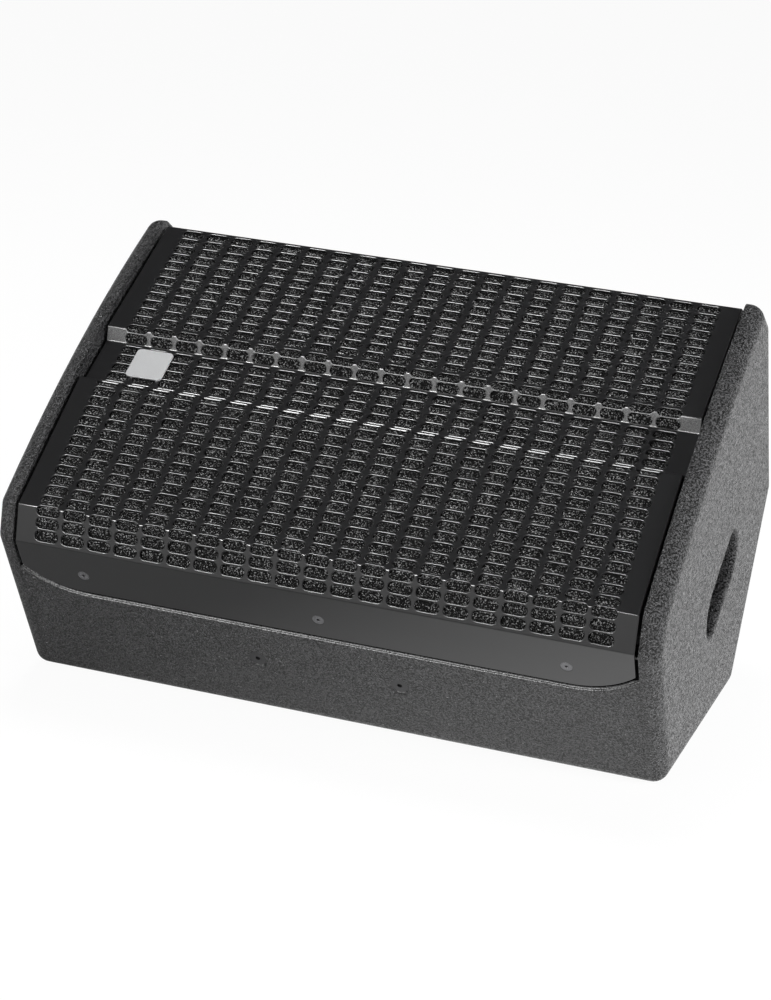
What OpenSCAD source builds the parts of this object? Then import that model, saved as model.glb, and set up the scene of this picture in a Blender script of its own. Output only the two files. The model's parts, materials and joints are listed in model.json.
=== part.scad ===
// Two-way stage monitor wedge: a plywood cabinet that rests on one rear slant, a folded
// slotted steel grille, a twelve-inch woofer, a horn with its compression driver and an
// amplifier panel on the other rear slant.
//
// Everything on the cabinet is drawn in the front's own frame: X along the cabinet, Y up
// the sloping front, Z out of it. in_place() leans that frame back by wedge_angle, so that
// the resting side lies level on its feet. The origin is on the floor, in the middle of
// the cabinet's length and of its depth from the grille's foremost fold to the back.

/* [Cabinet] */
// Length of the cabinet over both end plates
cab_len = 600; // [590:5:660]
// Height of the sloping front between the outer faces of the front and top walls
front_h = 403; // [400:1:420]
// Angle between the front and the floor, which is also that of both rear slants
wedge_angle = 31; // [30:0.5:32]
// Height up the front at which the two rear slants meet
heel_h = 232; // [228:1:236]
// Thickness of the end plates
end_t = 18; // [15:1:21]
// Thickness of the walls between the end plates
wall_t = 15; // [12:1:15]
// Thickness of the baffle that carries the drivers
baffle_t = 18; // [15:1:21]
// Depth of the baffle's face, square to the front, above the resting side's front edge
baffle_w = 177; // [174:1:177]
// Rounding of the cabinet's outer edges
edge_r = 14; // [8:1:14]
// Radius of the bowed front edge of the end plates
bow_r = 1350; // [1250:50:1800]
// Top of that bow, square to the front, above the front edge of the resting side
bow_top = 219.4; // [219:0.2:224]

/* [Grille] */
// Thickness of the grille's steel sheet
sheet_t = 2; // [1.5:0.1:2]
// Gap between the grille's ends and the end plates
grille_gap = 3; // [1:0.5:3]
// Length of a slot
slot_len = 22; // [16:0.5:22.5]
// Width of a slot
slot_w = 9.2; // [6:0.2:9.4]
// Distance between slot columns along the cabinet
pitch_x = 25; // [24:0.5:26]
// Distance between slot rows across the cabinet
pitch_s = 11.36; // [11.2:0.02:11.44]
// Height of the front lip's straight lower edge, square to the front
lip_end = 117.3; // [110:0.1:125]
// Radius of the rising curve at each end of a lip
lip_curve_r = 82; // [75:1:90]
// Length of that curve along the cabinet
lip_curve_len = 58; // [50:1:64]
// Thickness of the acoustic foam behind the grille
foam_t = 5; // [3:0.5:5]

/* [Drivers] */
// Outside diameter of the woofer's frame
woofer_d = 311; // [304:1:311]
// Travel of the woofer's cone each way
cone_travel = 6; // [2:0.5:6]
// Width of the horn's flange along the cabinet
horn_w = 190; // [180:1:190]
// Height of the horn's flange up the front
horn_h = 226; // [210:1:226]
// Bore of each bass port
port_d = 54; // [44:1:54]
// Length of each port tube
port_len = 90; // [60:1:110]

/* [Handle and pole socket] */
// Length of the handle recess
handle_len = 113; // [100:1:120]
// Width of the handle recess
handle_w = 48; // [40:1:50]
// Depth of the handle cup from the end plate's outer face
handle_depth = 80; // [60:1:85]
// Bore of the pole socket, for a 35 mm pole
socket_d = 35.6; // [35.2:0.1:37]
// Depth of the pole socket
socket_len = 76; // [70:1:80]

/* [Amplifier] */
// Width of the amplifier panel along the cabinet
amp_w = 310; // [300:1:330]
// Height of the amplifier panel
amp_h = 130; // [126:1:134]
// Diameter of the level knob
knob_d = 16; // [12:0.5:20]

/* [Feet] */
// Height of the rubber feet below the cabinet
foot_h = 3; // [2:0.5:4]
// Diameter of a foot
foot_d = 26; // [22:1:32]

/* [Hidden] */
$fn = 64;
over = 1;                    // how far a cutter runs past the face it cuts

function unit(v) = v / norm(v);
function left_of(v) = [-v[1], v[0]];

// ---- the cabinet's outline, as points [height up the front, distance out of it] ----
slant = tan(wedge_angle);
heel = [heel_h, -heel_h * slant];
back_edge = [front_h, heel[1] + (front_h - heel_h) * slant];
bevel_w = 169;               // where the lower bevel meets the front wall's face
top_bevel_w = 178;           // where the upper bevel meets the top wall's face
bow_centre = [262, bow_top - bow_r];
function bow_at(h) = bow_centre[1] + sqrt(bow_r * bow_r - pow(h - bow_centre[0], 2));
low_brow = [22, bow_at(22)];
high_brow = [front_h - 20, bow_at(front_h - 20)];
outline = [[0, 0], heel, back_edge, [front_h, top_bevel_w], high_brow, low_brow, [0, bevel_w]];
corners = len(outline);
function side_dir(i) = unit(outline[(i + 1) % corners] - outline[i % corners]);
function side_out(i) = -left_of(side_dir(i));
// the point at which both sides of corner i, moved in by d, meet
function inset(i, d) = outline[i] - d * (side_out(i) + side_out(i + corners - 1))
    / (1 + side_out(i) * side_out(i + corners - 1));
// that point for a corner between a straight side and the bow
function bow_inset(i, side, d) = let(
        p = outline[i] - d * side_out(side) - bow_centre,
        v = side_dir(side),
        b = p * v,
        root = sqrt(b * b - p * p + pow(bow_r - d, 2)),
        t = abs(-b + root) < abs(-b - root) ? -b + root : -b - root)
    bow_centre + p + v * t;
function rounding_centre(i) = i == 4 ? bow_inset(4, 3, edge_r)
    : i == 5 ? bow_inset(5, 5, edge_r) : inset(i, edge_r);
centres = [for (i = [0 : corners - 1]) rounding_centre(i)];
inner_x = cab_len / 2 - end_t;
end_x = cab_len / 2;
function bearing(v) = atan2(v[1], v[0]);

fold_w = 170.4;              // the grille's foremost fold, where its lip turns into the bevel
function depth_of(p) = p[0] * cos(wedge_angle) - p[1] * sin(wedge_angle);
mid_y = (depth_of([0, fold_w]) + depth_of(centres[2]) + edge_r) / 2;
module in_place() {
    translate([0, -mid_y, foot_h]) rotate([wedge_angle, 0, 0]) children();
}
module along_x(length) {
    rotate([90, 0, 90]) linear_extrude(length, center = true) children();
}
// Local Y runs along a straight side of the outline and local Z points into the cabinet.
module on_side(i) {
    translate([0, outline[i][0], outline[i][1]]) rotate([bearing(side_dir(i)), 0, 0]) children();
}
module ring(outer, inner, height) {
    difference() {
        cylinder(r = outer, h = height);
        translate([0, 0, -over]) cylinder(r = inner, h = height + 2 * over);
    }
}
module obround(length, width) {
    square([length - width, width], center = true);
    for (e = [-1, 1]) translate([e * (length - width) / 2, 0]) circle(d = width);
}
module rounded_rect(length, width, r) {
    square([length - 2 * r, width], center = true);
    square([length, width - 2 * r], center = true);
    for (x = [-1, 1], y = [-1, 1])
        translate([x * (length / 2 - r), y * (width / 2 - r)]) circle(r = r);
}
// A countersunk screw with its head's face at Z = 0, pointing down, with a hex socket.
module countersunk(head, shank, length, key) {
    cone = (head - shank) / 2;
    difference() {
        union() {
            translate([0, 0, -cone]) cylinder(r1 = shank / 2, r2 = head / 2, h = cone);
            translate([0, 0, -length]) cylinder(d = shank, h = length - cone + 0.1);
        }
        translate([0, 0, -cone * 0.7]) cylinder(d = key, h = cone, $fn = 6);
    }
}
// The hole that such a screw sits in.
module countersink(head, shank, length, play) {
    cone = (head - shank) / 2;
    translate([0, 0, -cone])
        cylinder(r1 = shank / 2 + play, r2 = head / 2 + play + over, h = cone + over);
    translate([0, 0, -length]) cylinder(r = shank / 2 + play, h = length);
}
// A pan-head screw seated at Z = 0 and pointing down, with a hex socket.
module pan_screw(head, shank, length) {
    translate([0, 0, -length]) cylinder(d = shank, h = length + 0.1);
    difference() {
        cylinder(d = head, h = head * 0.4);
        translate([0, 0, head * 0.15]) cylinder(d = head * 0.45, h = head, $fn = 6);
    }
}

// ---- end plates ----
play = 0.15;                 // clearance of a screw in its hole
handle_at = [207.5, 33];
socket_at = [222, -8];
cup_wall = 3;
socket_wall = 3;
flange_t = 3;                // thickness of the cup's and the socket's flanges
bow_steps = 10;

// One rounded corner of a plate: a disc whose outer rim curves in like a quarter ball.
module plate_corner(at) {
    translate([0, at[0], at[1]]) rotate([90, 0, 90]) rotate_extrude($fn = 32) {
        square([edge_r, end_t - edge_r]);
        translate([0, end_t - edge_r]) intersection() {
            circle(r = edge_r);
            square(edge_r);
        }
    }
}
// The plate from its inner face at X = 0, with every outer edge rounded.
module plate_blank() {
    from = bearing(centres[4] - bow_centre);
    to = bearing(centres[5] - bow_centre);
    hull() {
        for (c = centres) plate_corner(c);
        for (k = [1 : bow_steps - 1]) {
            a = from + (to - from) * k / bow_steps;
            plate_corner(bow_centre + (bow_r - edge_r) * [cos(a), sin(a)]);
        }
    }
}
module at_handle() {
    translate([inner_x, handle_at[0], handle_at[1]]) rotate([90, 0, 90]) children();
}
mouth_r = 6;                 // rounding of the handle hole's outer edge
crease = 0.3;                // how far that rounding stops short of running out smoothly
module mouth_flare() {
    straight = handle_len - handle_w;
    for (e = [0, 1]) rotate([0, 0, e * 180]) {
        translate([straight / 2, 0, 0]) rotate([0, 0, -90]) rotate_extrude(angle = 180)
            flare_section();
        translate([straight / 2 + 0.05, 0, 0]) rotate([90, 0, -90])
            linear_extrude(straight + 0.1) flare_section();
    }
}
// Widens from the hole's wall to mouth_r more at the outer face, along a quarter circle.
module flare_section() {
    difference() {
        translate([handle_w / 2 - 2, end_t - mouth_r]) square([mouth_r + 2, mouth_r + over]);
        translate([handle_w / 2 + mouth_r - crease, end_t - mouth_r + crease])
            circle(r = mouth_r);
    }
}
module end_plate_right() {
    color("#26272a") difference() {
        translate([inner_x, 0, 0]) plate_blank();
        at_handle() translate([0, 0, -over]) linear_extrude(end_t + 2 * over)
            obround(handle_len, handle_w);
        at_handle() mouth_flare();
        at_handle() cup_screw_ring() translate([0, 0, -over])
            cylinder(d = 4 + 2 * play, h = 12 + over);
    }
}
module at_socket() {
    translate([-inner_x, socket_at[0], socket_at[1]]) rotate([0, -90, 0]) children();
}
socket_or = socket_d / 2 + socket_wall;
module end_plate_left() {
    color("#26272a") difference() {
        mirror([1, 0, 0]) translate([inner_x, 0, 0]) plate_blank();
        at_socket() {
            translate([0, 0, -over]) cylinder(r = socket_or + 0.2, h = end_t + 2 * over);
            translate([0, 0, end_t - flange_t]) cylinder(r = socket_or + 16.2, h = 2 * flange_t);
            for (a = [45 : 90 : 315]) rotate(a) translate([socket_or + 9, 0, end_t - 17])
                cylinder(d = 4 + 2 * play, h = 17);
        }
    }
}

// ---- walls ----
recess_t = sheet_t + 0.5;    // depth of the recess that a lip lies in
lip_gap = 3;                 // gap between a lip's edge and the edge of its recess
front_top = 166;
top_top = 172;
top_lip_end = 125;
screw_x = [-220, 0, 220];
lip_screw_up = 21.7;         // a lip screw above the lip's edge
plug_x = [-66, 66];
plug_w = 69.2;
foot_x = [-240, 240];
foot_s = [46, 225];
foot_seat = 1.5;             // depth of a foot's screw seat inside the wall's face
grille_len = 2 * (inner_x - grille_gap);
floor_len = norm(heel);
rear_len = norm(back_edge - heel);

run_out = 0.03;              // how far a wall's rounding stands proud where it meets a side
// The sliver that rounding an outline corner removes.
module corner_nick(i) {
    c = centres[i];
    before = side_out(i + corners - 1);
    after = side_out(i);
    difference() {
        polygon([c, c + (edge_r + over) * before, outline[i] + over * (before + after) * 2,
            c + (edge_r + over) * after]);
        translate(c + run_out * unit(before + after)) circle(r = edge_r);
    }
}
// The region of a lip's lower corners, below its rising curve.
module lip_corners(edge, margin) {
    for (s = [-1, 1]) difference() {
        translate([s > 0 ? grille_len / 2 - lip_curve_len : -grille_len / 2 - over,
            edge - margin - over]) square([lip_curve_len + over, lip_curve_r]);
        translate([s * (grille_len / 2 - lip_curve_len), edge + lip_curve_r - 0.1])
            circle(r = lip_curve_r + margin);
    }
}
module lip_recess(edge) {
    difference() {
        translate([-inner_x - over, edge - lip_gap]) square([2 * inner_x + 2 * over, 90]);
        for (s = [-1, 1]) difference() {
            translate([s > 0 ? grille_len / 2 - lip_curve_len : -inner_x - 2 * over,
                edge - lip_gap - over]) square([lip_curve_len + grille_gap + 2 * over,
                lip_curve_r - lip_curve_r / 3]);
            translate([s * (grille_len / 2 - lip_curve_len), edge + lip_curve_r])
                circle(r = lip_curve_r + lip_gap);
        }
    }
}
// Local Z points out of the front wall, out of the top wall.
module on_front(x, w) { translate([x, 0, w]) rotate([90, 0, 0]) children(); }
module on_top(x, w) { translate([x, front_h, w]) rotate([-90, 0, 0]) children(); }

module front_wall() {
    color("#26272a") difference() {
        along_x(2 * inner_x) difference() {
            polygon([outline[0], inset(0, wall_t), [wall_t, front_top], [0, front_top]]);
            corner_nick(0);
        }
        on_front(0, 0) translate([0, 0, -recess_t]) linear_extrude(recess_t + over)
            lip_recess(lip_end);
        for (x = screw_x) on_front(x, lip_end + lip_screw_up) countersink(10.5, 5, 13, play);
        for (x = plug_x) on_front(x, plug_w) {
            countersink(16, 8, wall_t + over, play);
            translate([0, 0, -wall_t - over]) cylinder(d = 11.2, h = 10);
        }
    }
}
module top_wall() {
    color("#26272a") difference() {
        along_x(2 * inner_x) difference() {
            polygon([outline[2], [front_h, top_top], [front_h - wall_t, top_top],
                inset(2, wall_t)]);
            corner_nick(2);
        }
        on_top(0, 0) mirror([0, 1, 0]) translate([0, 0, -recess_t])
            linear_extrude(recess_t + over) lip_recess(top_lip_end);
        for (x = screw_x) on_top(x, top_lip_end + lip_screw_up)
            countersink(10.5, 5, 13, play);
    }
}
module at_feet() {
    on_side(0) for (x = foot_x, s = foot_s) translate([x, s, 0]) children();
}
module floor_wall() {
    color("#26272a") difference() {
        along_x(2 * inner_x) difference() {
            polygon([outline[0], outline[1], inset(1, wall_t), inset(0, wall_t)]);
            corner_nick(0);
            corner_nick(1);
        }
        at_feet() {
            translate([0, 0, -over]) cylinder(d = foot_d + 0.4, h = 3 + over);
            cylinder(d = 4 + 2 * play, h = 13);
        }
    }
}
amp_z = 6;                   // depth of the amplifier panel's face below the rear wall's
amp_plate_t = 3;
amp_ledge = 10;
module on_amp() {
    on_side(1) translate([0, rear_len / 2, amp_z]) children();
}
module at_amp_screws() {
    for (x = [-1, 0, 1], y = [-1, 1])
        translate([x * (amp_w / 2 - 6), y * (amp_h / 2 - 5), 0]) children();
}
module rear_wall() {
    color("#26272a") difference() {
        along_x(2 * inner_x) difference() {
            polygon([outline[1], outline[2], inset(2, wall_t), inset(1, wall_t)]);
            corner_nick(1);
            corner_nick(2);
        }
        on_amp() {
            translate([-amp_w / 2 - 1, -amp_h / 2 - 1, -amp_z - over])
                cube([amp_w + 2, amp_h + 2, amp_z + amp_plate_t + over]);
            translate([-amp_w / 2 + amp_ledge, -amp_h / 2 + amp_ledge, 0])
                cube([amp_w - 2 * amp_ledge, amp_h - 2 * amp_ledge, 2 * wall_t]);
            at_amp_screws() translate([0, 0, -over]) cylinder(d = 3.5 + 2 * play, h = 14);
        }
    }
}

// ---- baffle, brace and ports ----
woofer_at = [-122, 201];
horn_at = [158, 201];
port_at = [[158, 50.5], [158, 351.5]];
port_wall = 3;
rebate = 6;
woofer_screws = 8;
woofer_pcd = woofer_d - 11;
horn_flange_t = 4;
module at_woofer() { translate([woofer_at[0], woofer_at[1], baffle_w]) children(); }
module at_horn() { translate([horn_at[0], horn_at[1], baffle_w]) children(); }
module at_ports() {
    for (p = port_at) translate([p[0], p[1], baffle_w]) children();
}
module woofer_screw_ring() {
    for (k = [0 : woofer_screws - 1]) rotate((k + 0.5) * 360 / woofer_screws)
        translate([woofer_pcd / 2, 0, 0]) children();
}
module horn_screw_ring() {
    for (x = [-1, 1], y = [-1, 0, 1])
        translate([x * (horn_w / 2 - 8), y * (horn_h / 2 - 8), 0]) children();
}
module baffle() {
    color("#5b4a36") difference() {
        translate([-inner_x, wall_t, baffle_w - baffle_t])
            cube([2 * inner_x, front_h - 2 * wall_t, baffle_t]);
        at_woofer() {
            translate([0, 0, -rebate]) cylinder(d = woofer_d + 1, h = rebate + over);
            translate([0, 0, -baffle_t - over]) cylinder(d = woofer_d - 24, h = 2 * baffle_t);
            woofer_screw_ring() translate([0, 0, -16]) cylinder(d = 5 + 2 * play, h = 20);
        }
        at_horn() {
            translate([0, 0, -baffle_t - over]) linear_extrude(baffle_t + 2 * over)
                rounded_rect(horn_w - 28, horn_h - 28, 10);
            horn_screw_ring() translate([0, 0, -16]) cylinder(d = 4 + 2 * play, h = 20);
        }
        at_ports() translate([0, 0, -baffle_t - over])
            cylinder(r = port_d / 2 + port_wall + 0.2, h = baffle_t + 2 * over);
    }
}
brace_x = 42;
brace_rim = 36;
module brace() {
    color("#8a6f4d") translate([brace_x + wall_t / 2, 0, 0]) along_x(wall_t) difference() {
        polygon([inset(0, wall_t), inset(1, wall_t), inset(2, wall_t),
            [front_h - wall_t, baffle_w - baffle_t], [wall_t, baffle_w - baffle_t]]);
        polygon([inset(0, wall_t + brace_rim), inset(1, wall_t + brace_rim),
            inset(2, wall_t + brace_rim),
            [front_h - wall_t - brace_rim, baffle_w - baffle_t - brace_rim],
            [wall_t + brace_rim, baffle_w - baffle_t - brace_rim]]);
    }
}
module port_tubes() {
    color("#1b1b1c") at_ports() {
        translate([0, 0, 3 - port_len]) ring(port_d / 2 + port_wall, port_d / 2, port_len);
        ring(port_d / 2 + 7, port_d / 2, 3);
    }
}

// ---- handle cup and pole socket ----
module handle_cup() {
    deep = handle_depth - end_t;
    color("#1b1b1c") at_handle() difference() {
        union() {
            translate([0, 0, -deep]) linear_extrude(deep)
                obround(handle_len + 2 * cup_wall + 10, handle_w + 2 * cup_wall + 10);
            translate([0, 0, -flange_t]) linear_extrude(flange_t)
                obround(handle_len + 44, handle_w + 44);
        }
        translate([0, 0, cup_wall - deep]) linear_extrude(deep)
            obround(handle_len + 10, handle_w + 10);
        cup_screw_ring() translate([0, 0, -flange_t - over]) cylinder(d = 4 + 2 * play, h = 6);
    }
}
module cup_screw_ring() {
    for (x = [-1, 0, 1], y = [-1, 1])
        translate([x * (handle_len - handle_w) / 2, y * (handle_w / 2 + 15), 0]) children();
}
module pole_socket() {
    color("#1b1b1c") at_socket() difference() {
        union() {
            translate([0, 0, end_t - socket_len - socket_wall])
                cylinder(r = socket_or, h = socket_len + socket_wall);
            translate([0, 0, end_t - flange_t]) cylinder(r = socket_or + 16, h = flange_t);
        }
        translate([0, 0, end_t - socket_len]) cylinder(d = socket_d, h = socket_len + over);
        for (a = [45 : 90 : 315]) rotate(a) translate([socket_or + 9, 0, end_t])
            countersink(8, 4, 6, play);
    }
}

// ---- grille: one sheet, folded and punched ----
// the outer face's fold lines, from the front lip's edge up over the front to the top lip's
channel_w = 203.4;           // floor of the shallow channel across the front
path = [[0, lip_end], [0, fold_w], [20, 197.2], [165.4, 213.3], [172.8, channel_w],
    [223.9, channel_w], [231.9, 214.2], [front_h - 23.9, 208.8], [front_h, 177.5],
    [front_h, top_lip_end]];
columns = 10;                // slot columns each side of the middle one
function out_n(i) = left_of(unit(path[i + 1] - path[i]));
function mitre(i) = i == 0 ? out_n(0) : i == len(path) - 1 ? out_n(i - 1)
    : (out_n(i - 1) + out_n(i)) / (1 + out_n(i - 1) * out_n(i));
function facet(i) = norm(path[i + 1] - path[i]);

// a strip of the folded section, from depth a to depth b below the outer face
module band(first, last, a, b) {
    polygon(concat([for (i = [first : last]) path[i] - a * mitre(i)],
        [for (i = [last : -1 : first]) path[i] - b * mitre(i)]));
}
module on_facet(i) {
    d = path[i + 1] - path[i];
    translate([0, path[i][0], path[i][1]]) rotate([bearing(d), 0, 0]) children();
}
module slot_rows(rows, width = slot_w) {
    for (s = rows, k = [-columns : columns])
        translate([k * pitch_x, s]) obround(slot_len, width);
}
// Punches rows of slots square through one facet.
module punch(i, rows) {
    on_facet(i) translate([0, 0, -sheet_t - 1]) linear_extrude(sheet_t + 2) slot_rows(rows);
}
// Punches one row across the fold at path[i], square to the fold's own bisector. Seen along
// it, both facets are foreshortened, so the slot's width and its place are as well.
module punch_fold(i, s) {
    before = unit(path[i] - path[i - 1]);
    after = unit(path[i + 1] - path[i]);
    short = norm(before + after) / 2;
    translate([0, path[i][0], path[i][1]]) rotate([bearing(before + after), 0, 0])
        translate([0, 0, -sheet_t - 3.5]) linear_extrude(sheet_t + 7)
            slot_rows([s * short], round(slot_w * short * 10) / 10);
}
module grille() {
    bevel_start = 8.3;
    lower_start = 9;
    crest_s = -0.8;
    floor_start = crest_s + 2 * pitch_s - facet(3);
    upper_end = facet(6) - 7.15;
    color("#2c2d2f") difference() {
        along_x(grille_len) band(0, 9, 0, sheet_t);
        punch(1, [for (k = [0, 1]) bevel_start + k * pitch_s]);
        punch_fold(2, bevel_start + 2 * pitch_s - facet(1));
        punch(2, [for (k = [0 : 11]) lower_start + k * pitch_s]);
        punch_fold(3, crest_s);
        punch_fold(4, floor_start - pitch_s);
        punch(4, [for (k = [0 : 3]) floor_start + k * pitch_s]);
        punch(5, [4.9]);
        punch_fold(6, 2.1);
        punch(6, [for (k = [0 : 11]) upper_end - k * pitch_s]);
        punch(7, [for (k = [0 : 2]) facet(7) - 10.3 - k * pitch_s]);
        on_front(0, 0) translate([0, 0, -sheet_t - 3]) linear_extrude(sheet_t + 6)
            lip_corners(lip_end, 0);
        on_top(0, 0) mirror([0, 1, 0]) translate([0, 0, -sheet_t - 3])
            linear_extrude(sheet_t + 6) lip_corners(top_lip_end, 0);
        for (x = screw_x) {
            on_front(x, lip_end + lip_screw_up) countersink(10.5, 5, 6, play);
            on_top(x, top_lip_end + lip_screw_up) countersink(10.5, 5, 6, play);
        }
    }
}
module foam() {
    color("#1a1a1a") along_x(grille_len - 6)
        band(1, 8, sheet_t + 0.4, sheet_t + 0.4 + foam_t);
}
badge_w = 35;
badge_h = 35.5;
badge_at = [-226.5, 201];
badge_t = 1.5;
module badge() {
    color("#c9cbce") translate([badge_at[0], badge_at[1], channel_w])
        linear_extrude(badge_t) rounded_rect(badge_w, badge_h, 4);
}
module cabinet_screws() {
    color("#8d9094") {
        for (x = screw_x) on_front(x, lip_end + lip_screw_up) countersunk(10.5, 5, 12, 3);
        for (x = screw_x) on_top(x, top_lip_end + lip_screw_up) countersunk(10.5, 5, 12, 3);
        at_socket() for (a = [45 : 90 : 315]) rotate(a)
            translate([socket_or + 9, 0, end_t]) countersunk(8, 4, 16, 2.5);
        at_handle() cup_screw_ring() translate([0, 0, -3]) mirror([0, 0, 1])
            pan_screw(8, 4, 14);
        at_feet() translate([0, 0, foot_seat]) mirror([0, 0, 1]) pan_screw(8, 4, 10);
    }
}
module rigging_bolts() {
    color("#1f2022") for (x = plug_x) on_front(x, plug_w) countersunk(16, 8, 20, 5);
}
module rigging_nuts() {
    color("#a8abaf") for (x = plug_x) on_front(x, plug_w) translate([0, 0, -wall_t - 1.5]) {
        ring(8.4, 4.1, 1.5);
        ring(5.5, 4.1, 10);
    }
}
module feet() {
    color("#17171a") at_feet() difference() {
        translate([0, 0, -foot_h]) cylinder(d = foot_d, h = foot_h + 3);
        translate([0, 0, -foot_h - over]) cylinder(d = 9, h = foot_h + foot_seat + over);
        cylinder(d = 4 + 2 * play, h = 8);
    }
}

// ---- woofer, along Z from the baffle's face ----
coil_r = 37.5;
back_z = -104;
module spoke_windows(count, r1, r2, half) {
    for (k = [0 : count - 1]) rotate(k * 360 / count) translate([0, 0, -90])
        linear_extrude(80) polygon([[r1, -r1 * half], [r2, -r2 * half], [r2, r2 * half],
            [r1, r1 * half]]);
}
module woofer_basket() {
    r = woofer_d / 2;
    color("#2a2b2d") at_woofer() difference() {
        rotate_extrude() polygon([[r, 0], [r - 17.5, 0], [r - 17.5, -rebate - 9], [84, -56],
            [84, -67], [48, -67], [48, -72], [88, -72], [88, -58], [r - 13.5, -rebate - 9],
            [r - 13.5, -rebate], [r, -rebate]]);
        spoke_windows(6, 92, r - 30, 0.42);
        woofer_screw_ring() translate([0, 0, -rebate - over]) cylinder(d = 5 + 2 * play, h = 10);
    }
}
module woofer_gasket() {
    r = woofer_d / 2;
    color("#141414") at_woofer() ring(r - 10.5, r - 14.5, 2);
}
module woofer_top_plate() {
    color("#77797c") at_woofer() translate([0, 0, -80]) ring(62, coil_r + 2, 8);
}
module woofer_magnet() {
    color("#3a3a3c") at_woofer() translate([0, 0, back_z + 8]) ring(74, 46, -80 - back_z - 8);
}
module woofer_yoke() {
    color("#77797c") at_woofer() {
        translate([0, 0, back_z]) ring(70, 12, 8);
        translate([0, 0, back_z + 4]) ring(coil_r - 0.9, 12, -back_z - 4 - 72);
    }
}
module woofer_cone() {
    outer = woofer_d / 2 - 37;
    color("#1c1c1d") at_woofer() rotate_extrude() polygon([[coil_r + 1.5, -46], [coil_r + 20, -34],
        [outer - 30, -14], [outer, -4], [outer, -2.6], [outer - 31, -12.6],
        [coil_r + 19, -32.4], [coil_r + 1.5, -44]]);
}
module woofer_dust_cap() {
    ball = 66;
    color("#151516") at_woofer() translate([0, 0, -ball + 2 - 21]) rotate_extrude() intersection() {
        difference() {
            circle(r = ball);
            circle(r = ball - 1);
        }
        translate([0, ball * 0.7]) square([48, ball]);
    }
}
module woofer_voice_coil() {
    color("#b06a3a") at_woofer() translate([0, 0, -88]) ring(coil_r + 0.9, coil_r, 44);
}
module woofer_surround() {
    outer = woofer_d / 2 - 37;
    roll = 9;
    mid = outer + 1 + roll;
    color("#101011") at_woofer() rotate_extrude() {
        intersection() {
            translate([mid, 0]) difference() {
                circle(r = roll);
                circle(r = roll - 1);
            }
            translate([mid - roll - 1, 0]) square([2 * roll + 2, roll + 1]);
        }
        translate([outer - 2, -2.4]) square([4, 2.8]);
        translate([mid + roll - 1, 0]) square([4, 1]);
    }
}
module woofer_spider() {
    color("#c8b27a") at_woofer() rotate_extrude() polygon([[coil_r + 1.4, -58], [50, -55],
        [56, -59], [62, -55], [68, -59], [74, -55], [79, -57], [79, -56], [74, -54],
        [68, -58], [62, -54], [56, -58], [50, -54], [coil_r + 1.4, -57]]);
}
module driver_screws() {
    color("#26272a") {
        at_woofer() woofer_screw_ring() pan_screw(9, 5, 15);
        at_horn() horn_screw_ring() translate([0, 0, horn_flange_t]) pan_screw(7, 4, 18);
    }
}

// ---- horn and compression driver, along Z from the baffle's face ----
throat_z = -92;
throat_r = 13;
module slab(length, height, z) {
    translate([0, 0, z]) linear_extrude(0.5) square([length, height], center = true);
}
module throat(r, z) { translate([0, 0, z]) cylinder(r = r, h = 0.5, $fn = 32); }
module flare(extra, top) {
    mouth = [horn_w - 46, horn_h - 46];
    hull() {
        slab(mouth[0] + extra, mouth[1] + extra, top);
        slab(mouth[0] * 0.52 + extra, mouth[1] * 0.52 + extra, -30);
    }
    hull() {
        slab(mouth[0] * 0.52 + extra, mouth[1] * 0.52 + extra, -30);
        throat(throat_r + extra / 2, throat_z + (extra > 0 ? 0 : -1));
    }
}
module horn() {
    color("#18181a") at_horn() difference() {
        union() {
            linear_extrude(horn_flange_t) rounded_rect(horn_w, horn_h, 8);
            flare(6, horn_flange_t - 0.5);
            translate([0, 0, throat_z]) cylinder(r = 38, h = 5);
        }
        flare(0, horn_flange_t);
        translate([0, 0, throat_z - over]) cylinder(r = throat_r, h = 8);
        horn_screw_ring() translate([0, 0, -over]) cylinder(d = 4 + 2 * play, h = 10);
    }
}
module driver_front_plate() {
    color("#77797c") at_horn() translate([0, 0, throat_z - 7]) ring(45, throat_r, 7);
}
module driver_magnet() {
    color("#3a3a3c") at_horn() translate([0, 0, throat_z - 25]) ring(43, 29, 18);
}
module driver_pole() {
    color("#77797c") at_horn() translate([0, 0, throat_z - 25]) ring(20, 8, 18);
}
module driver_diaphragm() {
    ball = 30;
    color("#b9bcc0") at_horn() translate([0, 0, throat_z - 25.6]) {
        ring(36, 21.2, 0.6);
        mirror([0, 0, 1]) translate([0, 0, -21.2]) rotate_extrude() intersection() {
            difference() {
                circle(r = ball);
                circle(r = ball - 0.6);
            }
            translate([0, 21]) square([21.5, ball]);
        }
    }
}
module driver_cover() {
    color("#202124") at_horn() translate([0, 0, throat_z - 51]) difference() {
        cylinder(r = 43, h = 25.4);
        translate([0, 0, 3]) cylinder(r = 30, h = 26);
    }
}

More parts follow.
